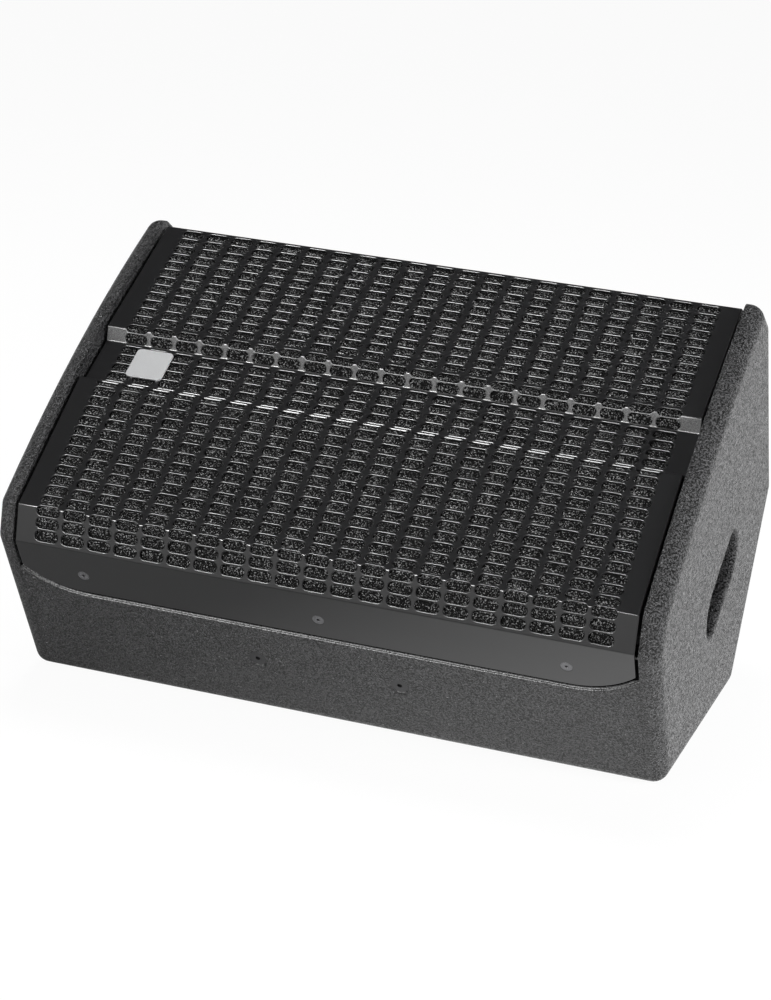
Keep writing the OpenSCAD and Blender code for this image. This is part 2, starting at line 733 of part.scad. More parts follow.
// ---- amplifier, in the panel's frame: X along the cabinet, Y up the slant, Z inward ----
xlr_at = [-122, 30];
link_at = [-84, 30];
knob_at = [-47, 30];
lamp_at = [-26, 30];
inlet_at = [126, 36];
rocker_at = [82, 36];
trafo_at = [106, -20];
sink_at = [-75, -28];
module amp_panel() {
    color("#303236") on_amp() difference() {
        translate([-amp_w / 2, -amp_h / 2, 0]) cube([amp_w, amp_h, amp_plate_t]);
        for (p = [xlr_at, link_at]) translate([p[0], p[1], -over])
            cylinder(d = 24, h = amp_plate_t + 2 * over);
        translate([knob_at[0], knob_at[1], -over]) cylinder(d = 7.2, h = amp_plate_t + 2 * over);
        translate([lamp_at[0], lamp_at[1], -over]) cylinder(d = 5.2, h = amp_plate_t + 2 * over);
        translate([inlet_at[0], inlet_at[1], -over]) linear_extrude(amp_plate_t + 2 * over)
            square([28.6, 21], center = true);
        translate([rocker_at[0], rocker_at[1], -over]) linear_extrude(amp_plate_t + 2 * over)
            square([27.8, 22.6], center = true);
        at_amp_screws() translate([0, 0, -over]) cylinder(d = 3.5 + 2 * play, h = 6);
    }
}
module heatsink() {
    color("#9a9da1") on_amp() translate([sink_at[0], sink_at[1], amp_plate_t]) {
        translate([-60, -26, 0]) cube([120, 52, 5]);
        for (k = [0 : 9]) translate([-60 + k * 12.9, -26, 4]) cube([3.4, 52, 22]);
    }
}
board_z = 52;
module amp_board() {
    color("#1f5b35") on_amp() {
        translate([-144, -56, board_z]) cube([144, 112, 1.6]);
        for (x = [-140, -4], y = [-49, 49]) translate([x, y, amp_plate_t])
            cylinder(r = 3, h = board_z - amp_plate_t + 0.1);
        translate([-60, 5, board_z + 1]) cube([34, 20, 18]);
        translate([-130, 8, board_z + 1]) cube([22, 16, 14]);
    }
}
module capacitors() {
    color("#20242c") on_amp() for (x = [-120, -88, -56, -24])
        translate([x, -28, board_z + 1.6]) cylinder(r = 11, h = 26);
}
module transformer() {
    color("#7c4a2a") on_amp() translate([trafo_at[0], trafo_at[1], amp_plate_t]) {
        ring(32, 12, 32);
        cylinder(r = 12.05, h = 30);
        translate([0, 0, 31]) cylinder(r = 16, h = 3);
    }
}
module mains_inlet() {
    color("#161617") on_amp() translate([inlet_at[0], inlet_at[1], 0]) {
        difference() {
            union() {
                translate([-20, -12.5, -3]) cube([40, 25, 3]);
                translate([-14, -10, -0.1]) cube([28, 20, 22]);
            }
            translate([-12, -8, -4]) cube([24, 16, 20]);
        }
        for (x = [-7, 0, 7]) translate([x - 1, -2 + (x == 0 ? 3 : 0), 0]) cube([2, 4, 17]);
    }
}
rocker_tilt = 8;             // lean of the rocker at rest, switched off
pivot_z = 1.2;
module switch_housing() {
    color("#161617") on_amp() translate([rocker_at[0], rocker_at[1], 0]) difference() {
        union() {
            translate([-15.5, -12.5, -2]) cube([31, 25, 2]);
            translate([-13.6, -11, -0.1]) cube([27.2, 22, 20]);
        }
        translate([-12, -9.6, -3]) cube([24, 19.2, 14]);
        translate([0, 0, pivot_z]) rotate([0, 90, 0])
            cylinder(r = 1.55, h = 26.2, center = true);
    }
}
module power_rocker() {
    color("#1c1d1f") on_amp() translate([rocker_at[0], rocker_at[1], pivot_z])
        rotate([rocker_tilt, 0, 0]) {
            translate([-11.4, 0, 0]) rotate([90, 0, 90]) linear_extrude(22.8)
                polygon([[-7.6, -4.6], [0, -3.2], [7.6, -4.6], [7.6, 2], [0, 4], [-7.6, 2]]);
            rotate([0, 90, 0]) cylinder(r = 1.5, h = 25.8, center = true);
        }
}
module level_pot() {
    color("#5d6064") on_amp() translate([knob_at[0], knob_at[1], 0]) difference() {
        union() {
            translate([0, 0, -4]) cylinder(d = 7, h = 8);
            translate([0, 0, amp_plate_t]) cylinder(d = 17, h = 9);
        }
        translate([0, 0, -5]) cylinder(d = 4.1, h = 14);
    }
}
module level_shaft() {
    color("#b9bcc0") on_amp() translate([knob_at[0], knob_at[1], -8.9]) cylinder(d = 4, h = 17);
}
module level_knob() {
    color("#1a1a1b") on_amp() translate([knob_at[0], knob_at[1], -11]) difference() {
        union() {
            cylinder(d1 = knob_d - 2, d2 = knob_d, h = 7);
            translate([-0.6, 1, -0.5]) cube([1.2, knob_d / 2 - 2.2, 1]);
        }
        translate([0, 0, 2]) cylinder(d = 4.1, h = 12);
        translate([0, 0, 5.5]) cylinder(d = 9, h = 8);
    }
}
module xlr_flange(at) {
    translate([at[0], at[1], 0]) difference() {
        union() {
            translate([0, 0, -1.5]) linear_extrude(1.5) rounded_rect(26, 31, 2);
            translate([0, 0, -0.1]) cylinder(d = 23.6, h = 22);
        }
        children();
    }
}
module input_socket() {
    color("#1d1d1f") on_amp() xlr_flange(xlr_at) {
        translate([0, 0, -2]) ring(9.6, 7.6, 14);
        for (a = [90, 210, 330]) rotate(a) translate([4, 0, -2]) cylinder(d = 2.6, h = 14);
        translate([-3.3, 8.1, -2]) cube([6.6, 2.7, 10]);
    }
}
module input_latch() {
    color("#c9cbce") on_amp() translate([xlr_at[0], xlr_at[1], 0])
        translate([-3, 8.4, -3.5]) cube([6, 2.1, 9]);
}
module link_socket() {
    color("#1d1d1f") on_amp() {
        xlr_flange(link_at) translate([0, 0, -2]) cylinder(d = 19, h = 17);
        translate([link_at[0], link_at[1], 0]) for (a = [90, 210, 330]) rotate(a)
            translate([4, 0, 2]) cylinder(d = 2.4, h = 14);
    }
}
module amp_screws() {
    color("#26272a") on_amp() at_amp_screws() mirror([0, 0, 1]) pan_screw(6.5, 3.5, 11);
}
module status_lamp() {
    color("#2f9e44") on_amp() translate([lamp_at[0], lamp_at[1], -1.5]) cylinder(d = 5, h = 9);
}

in_place() end_plate_right();
in_place() end_plate_left();
in_place() front_wall();
in_place() floor_wall();
in_place() rear_wall();
in_place() top_wall();
in_place() baffle();
in_place() brace();
in_place() port_tubes();
in_place() handle_cup();
in_place() pole_socket();
in_place() grille();
in_place() foam();
in_place() badge();
in_place() cabinet_screws();
in_place() rigging_bolts();
in_place() rigging_nuts();
in_place() feet();
in_place() woofer_basket();
in_place() woofer_gasket();
in_place() woofer_top_plate();
in_place() woofer_magnet();
in_place() woofer_yoke();
in_place() woofer_cone();
in_place() woofer_dust_cap();
in_place() woofer_voice_coil();
in_place() woofer_surround();
in_place() woofer_spider();
in_place() driver_screws();
in_place() horn();
in_place() driver_front_plate();
in_place() driver_magnet();
in_place() driver_pole();
in_place() driver_cover();
in_place() driver_diaphragm();
in_place() amp_panel();
in_place() heatsink();
in_place() amp_board();
in_place() transformer();
in_place() capacitors();
in_place() mains_inlet();
in_place() switch_housing();
in_place() power_rocker();
in_place() level_pot();
in_place() level_shaft();
in_place() level_knob();
in_place() input_socket();
in_place() input_latch();
in_place() link_socket();
in_place() amp_screws();
in_place() status_lamp();
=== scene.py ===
import json
import math
import bmesh
import bpy
from mathutils import Matrix, Vector
from mathutils import noise as mathutils_noise

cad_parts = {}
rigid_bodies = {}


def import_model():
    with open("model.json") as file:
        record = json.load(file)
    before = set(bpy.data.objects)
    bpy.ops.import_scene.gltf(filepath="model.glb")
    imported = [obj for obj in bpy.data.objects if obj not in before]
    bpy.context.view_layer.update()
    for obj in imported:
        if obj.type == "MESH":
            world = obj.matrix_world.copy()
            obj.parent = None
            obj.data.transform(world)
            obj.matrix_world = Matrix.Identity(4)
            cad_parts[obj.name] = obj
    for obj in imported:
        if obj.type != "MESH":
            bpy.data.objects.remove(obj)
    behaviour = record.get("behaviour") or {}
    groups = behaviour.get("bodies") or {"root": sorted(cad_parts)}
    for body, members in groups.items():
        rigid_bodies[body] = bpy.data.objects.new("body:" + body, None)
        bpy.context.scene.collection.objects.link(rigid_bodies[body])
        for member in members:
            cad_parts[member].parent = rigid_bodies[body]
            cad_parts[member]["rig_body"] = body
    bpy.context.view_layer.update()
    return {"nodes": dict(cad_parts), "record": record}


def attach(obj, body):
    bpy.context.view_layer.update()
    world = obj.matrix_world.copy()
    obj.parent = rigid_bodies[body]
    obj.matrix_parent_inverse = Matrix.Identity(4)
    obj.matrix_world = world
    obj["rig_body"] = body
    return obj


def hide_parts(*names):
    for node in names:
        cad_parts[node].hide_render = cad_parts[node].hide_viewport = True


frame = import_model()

# %% [markdown]
# This is a stage monitor wedge: a plywood cabinet that lies in front of a singer and throws its
# sound up at an angle. The imported model is the frame of this scene.

# %% [markdown]
# The cabinet lies on one of its rear slants, so its front leans back. The grille and the foam are
# easier to describe along that front than along the floor: x along the cabinet, u up the sloping
# front and w out of it. The record gives all that is needed: the cone's axis points along w, and the
# pole socket is a point known in both frames.

# %% The front's own frame
record = frame["record"]
joints = {j["name"]: j for j in record["behaviour"]["joints"]}
mounts = {m["name"]: m for m in record["mounts"]}
slot_of = {s["node"]: s["material_slot"] for s in record["subparts"]}
w_dir = Vector(joints["cone_stroke"]["axis"]).normalized()
u_dir = Vector((0, w_dir.z, -w_dir.y))
socket_u, socket_w = 0.222, -0.008
start = Vector(mounts["pole_bore"]["pos_m"]) - socket_u * u_dir - socket_w * w_dir
start.x = 0

def on_front(point):
    """How far a point lies up the front and out of it, in metres."""
    place = point - start
    return place.dot(u_dir), place.dot(w_dir)

print("the front leans back", round(math.degrees(math.atan2(u_dir.z, u_dir.y)), 2), "degrees")

# %% [markdown]
# The grille is one folded sheet. Four of its folds matter here: the crest, where the lower panel
# ends, the foot of the short riser behind it, and the foot and the top of the small pale step on the
# far side of the channel. They are given once, in the front's frame, for the finishes and for the
# shapes.

# %% The grille's folds
crest_u, crest_w = 0.1654, 0.2133
foot_u, foot_w = 0.1728, 0.2034
step_foot_u, step_top_u, step_top_w = 0.2239, 0.2319, 0.2142
sheet = 0.002
step_out = (step_top_u - step_foot_u) * w_dir - (step_top_w - foot_w) * u_dir
step_out.normalize()
print("the step faces", [round(v, 3) for v in step_out])

# %% [markdown]
# Every finish starts the same way: a Principled shader on an output. Its texture coordinates are the
# object's own, in metres, so a grain has its real size without any unwrapping, and it stays on a
# piece that moves.

# %% A new finish
def new_finish(name):
    mat = bpy.data.materials.new(name)
    mat.use_nodes = True
    nodes, links = mat.node_tree.nodes, mat.node_tree.links
    nodes.clear()
    out = nodes.new("ShaderNodeOutputMaterial")
    shader = nodes.new("ShaderNodeBsdfPrincipled")
    links.new(shader.outputs["BSDF"], out.inputs["Surface"])
    coord = nodes.new("ShaderNodeTexCoord")
    return mat, nodes, links, shader, coord.outputs["Object"]

# %% [markdown]
# Grain, pebbles and foam cells are all irregular, so all of them come from noise. A map range node
# stretches the part of the noise that matters, which makes its blotches soft or sharp.

# %% Noise
def noise(nodes, links, where, size, detail=2.0, rough=0.5):
    """Smooth noise whose bumps are `size` metres apart."""
    node = nodes.new("ShaderNodeTexNoise")
    node.inputs["Scale"].default_value = 1.0 / size
    node.inputs["Detail"].default_value = detail
    node.inputs["Roughness"].default_value = rough
    links.new(where, node.inputs["Vector"])
    return node.outputs["Fac"]

def spread(nodes, links, value, low, high, to_low=0.0, to_high=1.0):
    """Stretches the part of `value` between low and high over a new range."""
    node = nodes.new("ShaderNodeMapRange")
    for key, number in (("From Min", low), ("From Max", high), ("To Min", to_low), ("To Max", to_high)):
        node.inputs[key].default_value = number
    links.new(value, node.inputs["Value"])
    return node.outputs["Result"]

# %% [markdown]
# The share that blends two colours is usually such a stretched noise. Most of this cabinet is grey,
# so a grey needs just one number.

# %% Colours
def grey(level):
    return (level, level, level)

def blend_colors(nodes, links, share, first, second):
    """Mixes two colours; each is three numbers or another node's output."""
    node = nodes.new("ShaderNodeMix")
    node.data_type = "RGBA"
    links.new(share, node.inputs[0])
    for socket, color in ((node.inputs[6], first), (node.inputs[7], second)):
        if hasattr(color, "is_output"):
            links.new(color, socket)
        else:
            socket.default_value = (*color, 1)
    return node.outputs[2]

# %% [markdown]
# A bump node tilts the normals of a surface and leaves its shape alone, which is enough for a grain
# that shows only in how it catches the light. A bevel node does the same at small edges. Its six
# samples are few, but the grain hides their noise.

# %% Raised grain and edges
edge_samples = 6

def bump(nodes, links, height, depth, before=None):
    """Raised grain, `depth` metres high, over the normals in `before`."""
    node = nodes.new("ShaderNodeBump")
    node.inputs["Distance"].default_value = depth
    node.inputs["Strength"].default_value = 1.0
    links.new(height, node.inputs["Height"])
    if before is not None:
        links.new(before, node.inputs["Normal"])
    return node.outputs["Normal"]

def soft_edges(nodes, radius):
    """Normals that bend round a sharp edge, as if it were rounded."""
    node = nodes.new("ShaderNodeBevel")
    node.samples = edge_samples
    node.inputs["Radius"].default_value = radius
    return node.outputs["Normal"]

# %% [markdown]
# Most finishes need only one grain. The noise that raises it also shifts the colour a little, darker in
# its pits as painted shade and paler on its peaks as painted light.

# %% A finish with one grain
def grained(name, low, high, rough, grain, depth, metal=0.0, edge=0.0, shine=0.5):
    """A finish with one raised grain, from colour `low` in its pits to `high` on its peaks."""
    mat, nodes, links, shader, where = new_finish(name)
    field = noise(nodes, links, where, grain)
    share = spread(nodes, links, field, 0.35, 0.65)
    # Darker in the pits and paler on the peaks: painted shade and painted light on the grain.
    links.new(blend_colors(nodes, links, share, low, high), shader.inputs["Base Color"])
    shader.inputs["Roughness"].default_value = rough
    shader.inputs["Metallic"].default_value = metal
    shader.inputs["Specular IOR Level"].default_value = shine
    before = soft_edges(nodes, edge) if edge else None
    links.new(bump(nodes, links, field, depth, before), shader.inputs["Normal"])
    return mat

# %% [markdown]
# The cabinet's coating is a thick black structured paint. It is sprayed on in drops that dry as
# pebbles a few millimetres across, and a finer roughness lies over them. Two bumps of different size
# give that. The fine grain is painted paler on its peaks and darker in its pits, as painted light and
# painted shade, and the pebbles' tops are smoother. The paint also rounds off the edges it covers,
# most of all round the end plates.

# %% Structured paint
pebble_size, pebble_height = 0.0032, 0.0024
fine_size, fine_height = 0.0016, 0.0009
paint_round = 0.0012
end_plate_round = 0.009

def structured_paint(name, round_edge):
    mat, nodes, links, shader, where = new_finish(name)
    pebbles = noise(nodes, links, where, pebble_size, detail=3.0, rough=0.8)
    fine = noise(nodes, links, where, fine_size, detail=1.0)
    # The fine grain is painted paler on its peaks and darker in its pits: painted light and painted shade.
    painted_light_on_peaks = spread(nodes, links, fine, 0.42, 0.60)
    pit_in_painted_shade, peak_in_painted_light = grey(0.001), (0.070, 0.070, 0.072)
    links.new(blend_colors(nodes, links, painted_light_on_peaks, pit_in_painted_shade, peak_in_painted_light), shader.inputs["Base Color"])
    links.new(spread(nodes, links, pebbles, 0.40, 0.60, 0.60, 0.25), shader.inputs["Roughness"])
    shader.inputs["Specular IOR Level"].default_value = 0.42
    coarse = bump(nodes, links, pebbles, pebble_height, soft_edges(nodes, round_edge))
    links.new(bump(nodes, links, fine, fine_height, coarse), shader.inputs["Normal"])
    print(name, "has edges rounded by", round_edge * 1000, "mm")
    return mat

# %% [markdown]
# The grille is powder coated steel: smooth, very dark and satin. The small step above the badge is
# drawn in a pale, grainy grey instead. A second material on its faces would do too, but the slots cut
# them into many small ones. The place of a point along and out of the front finds the whole step at
# once.

# %% Where the step is
before_foot, beyond_top, past_fold, under_foot = 0.0007, 0.0009, 0.0001, 0.0014

def along(nodes, links, where, direction):
    """How far a point lies along one direction from the start of the front's frame, in metres."""
    shift = nodes.new("ShaderNodeVectorMath")
    shift.operation = "SUBTRACT"
    shift.inputs[1].default_value = start
    links.new(where, shift.inputs[0])
    dot = nodes.new("ShaderNodeVectorMath")
    dot.operation = "DOT_PRODUCT"
    dot.inputs[1].default_value = direction
    links.new(shift.outputs[0], dot.inputs[0])
    return dot.outputs["Value"]

def math_node(nodes, links, operation, first, second):
    """Sum, product or the like of two values; each is a number or another node's output."""
    node = nodes.new("ShaderNodeMath")
    node.operation = operation
    for socket, value in zip(node.inputs, (first, second)):
        if hasattr(value, "is_output"):
            links.new(value, socket)
        else:
            socket.default_value = value
    return node.outputs[0]

def on_step(nodes, links, where):
    """1 on the small step of the grille and 0 elsewhere, with edges about a millimetre wide."""
    u = along(nodes, links, where, u_dir)
    w = along(nodes, links, where, w_dir)
    above_foot = spread(nodes, links, u, step_foot_u - before_foot, step_foot_u + past_fold)
    below_top = spread(nodes, links, u, step_top_u + beyond_top, step_top_u + past_fold)
    out = spread(nodes, links, w, foot_w - under_foot, foot_w)
    between = math_node(nodes, links, "MULTIPLY", above_foot, below_top)
    return math_node(nodes, links, "MULTIPLY", between, out)

# %% [markdown]
# The coat itself is nearly black, and its fine grain only breaks up the shine a little. On the step
# the same grain mixes a dark and a pale grey, so it can be seen.

# %% Powder coat
coat_grain, coat_grain_height = 0.0008, 0.00003
coat_round = 0.0006

def powder_coat():
    mat, nodes, links, shader, where = new_finish("powder_coat")
    field = noise(nodes, links, where, coat_grain)
    share = spread(nodes, links, field, 0.35, 0.65)
    dark = blend_colors(nodes, links, share, (0.007, 0.007, 0.0075), (0.010, 0.010, 0.0105))
    pale = blend_colors(nodes, links, share, grey(0.03), grey(0.18))
    pale_step_share = on_step(nodes, links, where)
    links.new(blend_colors(nodes, links, pale_step_share, dark, pale), shader.inputs["Base Color"])
    shader.inputs["Roughness"].default_value = 0.30
    shader.inputs["Specular IOR Level"].default_value = 0.75
    raised = bump(nodes, links, field, coat_grain_height, soft_edges(nodes, coat_round))
    links.new(raised, shader.inputs["Normal"])
    return mat

# %% [markdown]
# The foam behind the slots is open-celled. The cells are too small to model, so one noise gives their
# depth and their colour: black in the pits, the foam's own colour deepened by painted shade, and pale
# grey on the struts as painted highlight. Foam scatters light in all directions, so it gets hardly any
# shine.

# %% Foam
cell_size, cell_depth = 0.0013, 0.001

def open_foam():
    mat, nodes, links, shader, where = new_finish("open_foam")
    cells = noise(nodes, links, where, cell_size, detail=2.0, rough=0.6)
    # Pale grey struts are painted highlights; the black pits are the foam's own colour deepened by painted
    # shade.
    painted_lit_struts = spread(nodes, links, cells, 0.55, 0.66)
    color = blend_colors(nodes, links, painted_lit_struts, grey(0.003), grey(0.42))
    links.new(color, shader.inputs["Base Color"])
    shader.inputs["Roughness"].default_value = 0.9
    shader.inputs["Specular IOR Level"].default_value = 0.1
    links.new(bump(nodes, links, cells, cell_depth), shader.inputs["Normal"])
    return mat

# %% [markdown]
# These finishes are seen from close by, so their colours are chosen here. The rim of the front wall's
# recess gets a pale grey as a painted highlight, and the rebate under the grille's lip gets a nearly
# black, dull paint as painted shade.

# %% Finishes seen from the front
finishes = {
    "textured_paint": structured_paint("structured_paint", paint_round),
    "grille_steel": powder_coat(),
    "acoustic_foam": open_foam(),
    "badge_aluminium": grained("satin_plate", (0.44, 0.445, 0.45), (0.52, 0.525, 0.53), 0.35,
                               0.0004, 0.00002, metal=0.3, edge=0.0004),
    "zinc_screws": grained("zinc", (0.10, 0.10, 0.105), (0.17, 0.17, 0.175), 0.4,
                           0.0005, 0.00001, metal=0.5, edge=0.0003),
    "black_screws": grained("black_steel", (0.012, 0.012, 0.013), (0.02, 0.02, 0.022), 0.35,
                            0.0005, 0.00001),
}
# A pale grey painted on the rim under the lip: a painted highlight where the rounded edge catches light.
painted_highlight_rim = grained("painted_highlight_rim", grey(0.01), grey(0.24), 0.4, 0.0014, 0.0004)
# A nearly black, dull paint inside the rebate: painted shade in the gap under the lip.
painted_shade_in_rebate = grained("painted_shade_in_rebate", grey(0.002), grey(0.004), 0.9, 0.002, 0.0005, shine=0.0)
print("seen from the front:", ", ".join(finishes))

# %% [markdown]
# The other pieces take their colour from the record. What tells them apart close up is how rough they
# are and how large and high their grain is: moulded plastic has a fine even grain, rubber and cloth
# are dull, and turned or drawn metal is smooth. Each row gives the roughness, the size and the height
# of the grain in metres, and 1 for a metal.

# %% Finishes from the record
looks = {
    "bare_plywood": (0.6, 0.0030, 0.00010, 0.0),
    "baffle_paint": (0.7, 0.0012, 0.00020, 0.0),
    "moulded_plastic": (0.45, 0.0005, 0.00006, 0.0),
    "rubber": (0.8, 0.0007, 0.00010, 0.0),
    "cast_frame": (0.5, 0.0010, 0.00010, 0.0),
    "foam_gasket": (0.95, 0.0008, 0.00030, 0.0),
    "magnet_steel": (0.3, 0.0004, 0.00002, 1.0),
    "ferrite": (0.6, 0.0012, 0.00008, 0.0),
    "paper_cone": (0.8, 0.0010, 0.00020, 0.0),
    "coil_copper": (0.3, 0.0003, 0.00006, 1.0),
    "cloth_surround": (0.75, 0.0006, 0.00012, 0.0),
    "spider_cloth": (0.85, 0.0006, 0.00015, 0.0),
    "diaphragm_foil": (0.25, 0.0010, 0.00002, 1.0),
    "panel_paint": (0.42, 0.0006, 0.00005, 0.0),
    "bare_aluminium": (0.35, 0.0004, 0.00002, 1.0),
    "circuit_board": (0.35, 0.0020, 0.00006, 0.0),
    "transformer_wrap": (0.3, 0.0040, 0.00008, 0.0),
    "capacitor_sleeve": (0.3, 0.0020, 0.00002, 0.0),
    "rocker_plastic": (0.25, 0.0010, 0.00001, 0.0),
    "knob_plastic": (0.5, 0.0004, 0.00004, 0.0),
    "lamp_lens": (0.15, 0.0010, 0.00001, 0.0),
}
small_round = 0.0003
color_of = {m["slot"]: m["base_color"][:3] for m in record["materials"]}
for name, (rough, grain, depth, metal) in looks.items():
    darker = [0.8 * c for c in color_of[name]]
    paler = [1.2 * c for c in color_of[name]]
    finishes[name] = grained(name, darker, paler, rough, grain, depth, metal=metal, edge=small_round)

# %% [markdown]
# Each node of the CAD gets the finish of its slot. A node without a material slot gets one first. The
# two end plates have the cabinet's paint with a larger round, because they are rounded over before
# they are painted.

# %% Finishes on the nodes
for name, obj in frame["nodes"].items():
    if not obj.material_slots:
        obj.data.materials.append(None)
    for material_slot in obj.material_slots:
        material_slot.material = finishes[slot_of[name]]
for name in ("end_plate_left", "end_plate_right"):
    frame["nodes"][name].data.materials[0] = structured_paint(name + "_paint", end_plate_round)
print(len(finishes), "finishes on", len(frame["nodes"]), "nodes")

# %% [markdown]
# CAD edges are perfectly sharp, and a perfectly sharp edge catches no light. On the real sheet each
# punched slot and fold has a small round, and the paint on the plywood rounds off the recess. A
# bevel modifier could do it, but a bevel made here on a copy is lighter: only the edges that face
# outwards are rounded. First the flat triangles have to be joined, or the round would not run evenly.

# %% Joined meshes
weld = 1e-6
flat_angle = math.radians(0.6)

def joined_mesh(node, keep=None):
    """A node's mesh with its seams welded and its flat triangles joined, but for those facing `keep`."""
    bm = bmesh.new()
    bm.from_mesh(frame["nodes"][node].data)
    bmesh.ops.remove_doubles(bm, verts=bm.verts, dist=weld)
    edges = bm.edges[:]
    if keep is not None:
        edges = [e for e in edges if all(abs(f.normal.dot(keep)) < 0.999 for f in e.link_faces)]
    bmesh.ops.dissolve_limit(bm, angle_limit=flat_angle, verts=[], edges=edges)
    return bm

# %% [markdown]
# The copy stands for the node, rides on its body and has its slot. The faces of the rounds are
# smooth, and a weighted normal keeps the big faces flat right up to them.

# %% Rounded copies
sharp_angle = math.radians(35)

def shown_piece(name, mesh, finish):
    """Puts a mesh in the scene as a piece with one finish."""
    piece = bpy.data.objects.new(name, mesh)
    bpy.context.scene.collection.objects.link(piece)
    mesh.materials.append(finish)
    return piece

def mesh_from(bm, name):
    mesh = bpy.data.meshes.new(name)
    bm.to_mesh(mesh)
    bm.free()
    return mesh

def rounded_piece(node, bm, radius, steps):
    """Rounds the sharp edges beside any face that looks out of the front, and shows the result."""
    sharp = [e for e in bm.edges if e.is_manifold and e.calc_face_angle(0) > sharp_angle]
    sharp = [e for e in sharp if max(f.normal.dot(w_dir) for f in e.link_faces) > 0.1]
    for face in bm.faces:
        face.smooth = False
    rounds = bmesh.ops.bevel(bm, geom=sharp, offset=radius, segments=steps, profile=0.5,
                             affect="EDGES", clamp_overlap=False)
    for face in rounds["faces"]:
        face.smooth = True
    piece = shown_piece(node + "_rounded", mesh_from(bm, node + "_rounded"), finishes[slot_of[node]])
    flat = piece.modifiers.new("flat faces stay flat", "WEIGHTED_NORMAL")
    flat.weight = 100
    flat.keep_sharp = True
    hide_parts(node)
    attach(piece, frame["nodes"][node]["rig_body"])
    print(node, "rounded on", len(sharp), "edges, now", len(piece.data.polygons), "faces")
    return piece

# %% [markdown]
# The grille's lip sits in a rebate in the front wall, with a shadow gap of a few millimetres under
# it. The rebate's lower edge is drawn a little lower than the lip needs, so that the gap shows, and
# its inside gets a nearly black paint as painted shade. The middle of the rounded rim gets a pale
# paint as a painted highlight. Each face is told by how far it looks out of the front or down along it.

# %% Front wall
rebate_drop = 0.0030
rim_round = 0.0017
lip_reach = 0.008
wall_face = 0.0005
straight = 0.97
rim_low, rim_high, corner_turn = 0.5, 0.9, 0.6
bm = joined_mesh("front_wall")
rebate_faces = [f for f in bm.faces if f.normal.dot(w_dir) > 0.3]
for v in {v for f in rebate_faces for v in f.verts}:
    if on_front(v.co)[0] < lip_reach:
        v.co -= rebate_drop * w_dir
front_wall = rounded_piece("front_wall", bm, rim_round, 3)
# Slot 1 paints shade into the rebate, and slot 2 paints a highlight on the middle of the rim.
front_wall.data.materials.append(painted_shade_in_rebate)
front_wall.data.materials.append(painted_highlight_rim)
for face in front_wall.data.polygons:
    outwards, downwards = face.normal.dot(w_dir), -face.normal.dot(u_dir)
    behind_face = on_front(face.center)[0] > wall_face
    if outwards > straight or (behind_face and downwards > straight):
        face.material_index = 1
    elif rim_low < outwards < rim_high and abs(face.normal.x) < corner_turn:
        face.material_index = 2

# %% [markdown]
# The grille is punched flat and folded afterwards, so a slot that crosses the crest keeps walls at
# right angles to each side of the fold. Its upper wall faces the front there and shines as a row of
# bright dashes. The CAD cuts such a slot straight through. So the inner corners on the riser, which
# lie one sheet deep and a few millimetres down from the crest, are moved along the sheet. That turns
# those walls part of the way, which is enough for them to shine.

# %% Grille
wall_turn = 0.0006
slot_round = 0.0006
nearest, farthest = 0.002, 0.010
close = 0.00005
bm = joined_mesh("grille", keep=step_out)
riser = ((foot_u - crest_u) * u_dir + (foot_w - crest_w) * w_dir).normalized()
riser_out = Vector((1, 0, 0)).cross(riser)
crest = start + crest_u * u_dir + crest_w * w_dir
turned = 0
for v in bm.verts:
    down = (v.co - crest).dot(riser)
    depth = -(v.co - crest).dot(riser_out)
    if abs(depth - sheet) < close and nearest < down < farthest:
        v.co -= wall_turn * riser
        turned += 1
print("turned", turned, "corners on the riser")
rounded_piece("grille", bm, slot_round, 2)

# %% [markdown]
# The acoustic foam is a soft sheet that follows the grille's folds. Its CAD solid is plain, so it is
# built again here. A cloth simulation would not help, because this foam lies still behind the
# grille. The outline of the solid's end is walked round, the side that faces out is cut fine and the
# hidden side coarse, and the loops are swept along the cabinet. Noise then pushes the surface in by
# about a millimetre, unevenly, the way cut foam stands.

# %% The foam's outline
fine_cut, coarse_cut = 0.0016, 0.012

def end_outline(node):
    """The corners of a swept node's right end, in order, as (u, w) in metres, and its two ends in x."""
    bm = joined_mesh(node)
    caps = [f for f in bm.faces if f.normal.x > 0.99]
    cap = max(caps, key=lambda f: f.calc_area())
    corners = [on_front(v.co) for v in cap.verts]
    xs = [v.co.x for v in bm.verts]
    bm.free()
    return corners, min(xs), max(xs)

def faces_out(facing):
    return facing[1] > 0.1

def cut_outline(corners):
    """Points round the outline, each with the direction that its side faces, as (u, w) pairs."""
    sides = list(zip(corners, corners[1:] + corners[:1]))
    turn = math.copysign(1, sum(a[0] * b[1] - b[0] * a[1] for a, b in sides))
    loop = []
    for a, b in sides:
        side = (b[0] - a[0], b[1] - a[1])
        length = math.hypot(*side)
        facing = (side[1] / length * turn, -side[0] / length * turn)
        cuts = max(1, math.ceil(length / (fine_cut if faces_out(facing) else coarse_cut)))
        for i in range(cuts):
            share = i / cuts
            loop.append(((a[0] + side[0] * share, a[1] + side[1] * share), facing))
    return loop

corners, x_low, x_high = end_outline("foam")
loop = cut_outline(corners)
print("the foam's outline has", len(corners), "corners and is cut into", len(loop), "points")

# %% [markdown]
# Now the loops are placed and joined. Each one has the same number of points, so the faces between
# two loops are plain quads, and the last two faces close the ends.

# %% Foam sheet
sink, roughness = 0.0008, 0.0008
bumps_per_metre = 450

def swept_points(loop, xs):
    """The loop's points at each x, with the outer ones pushed in by the noise."""
    points = []
    for x in xs:
        for (u, w), facing in loop:
            point = start + Vector((x, 0, 0)) + u * u_dir + w * w_dir
            if faces_out(facing):
                depth = sink + roughness * (0.5 + 0.5 * mathutils_noise.noise(point * bumps_per_metre))
                point -= depth * (facing[0] * u_dir + facing[1] * w_dir)
            points.append(point)
    return points

